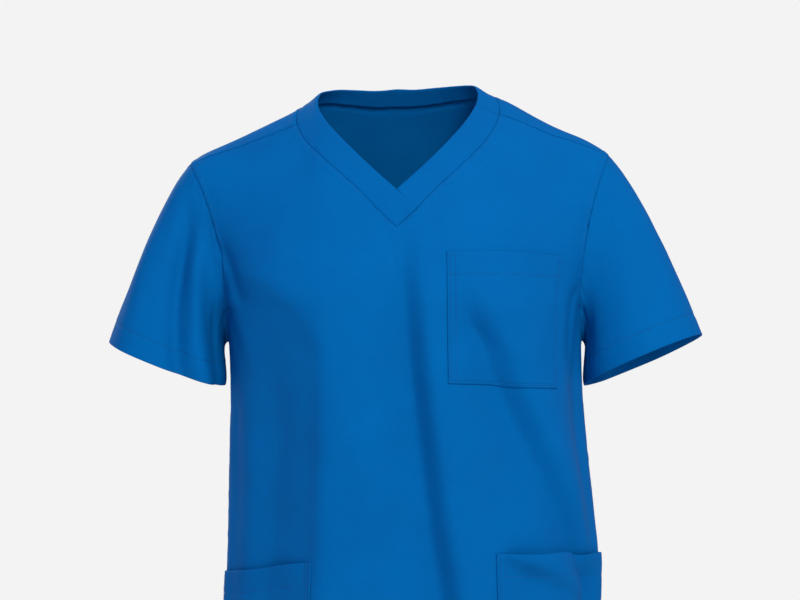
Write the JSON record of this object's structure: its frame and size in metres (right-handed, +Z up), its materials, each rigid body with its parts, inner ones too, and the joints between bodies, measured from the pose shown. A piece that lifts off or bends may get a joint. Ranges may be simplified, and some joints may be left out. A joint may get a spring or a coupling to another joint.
{
  "type": "medical scrub top",
  "caption": "Short-sleeved V-neck scrub top, filled out as worn with no wearer, with a lapped neckband, a chest pocket and two lower patch pockets.",
  "frame": {"origin": "middle of the line between the two points where the shoulders meet the neck, where the wearer's shoulders carry the top", "axes": "+Z up, +X towards the wearer's left, -Y towards the front"},
  "size_m": [0.6821, 0.2844, 0.7651],
  "materials": {
    "cloth": "matte twill, royal blue",
    "trim": "matte twill, royal blue, doubled and topstitched"
  },
  "bodies": {
    "root": {"front": "cloth", "back": "cloth", "sleeve_right": "cloth", "sleeve_left": "cloth", "neckband_back": "trim", "neckband_right": "trim", "neckband_left": "trim", "chest_pocket": "trim", "pocket_right": "trim", "pocket_left": "trim"}
  },
  "joints": []
}
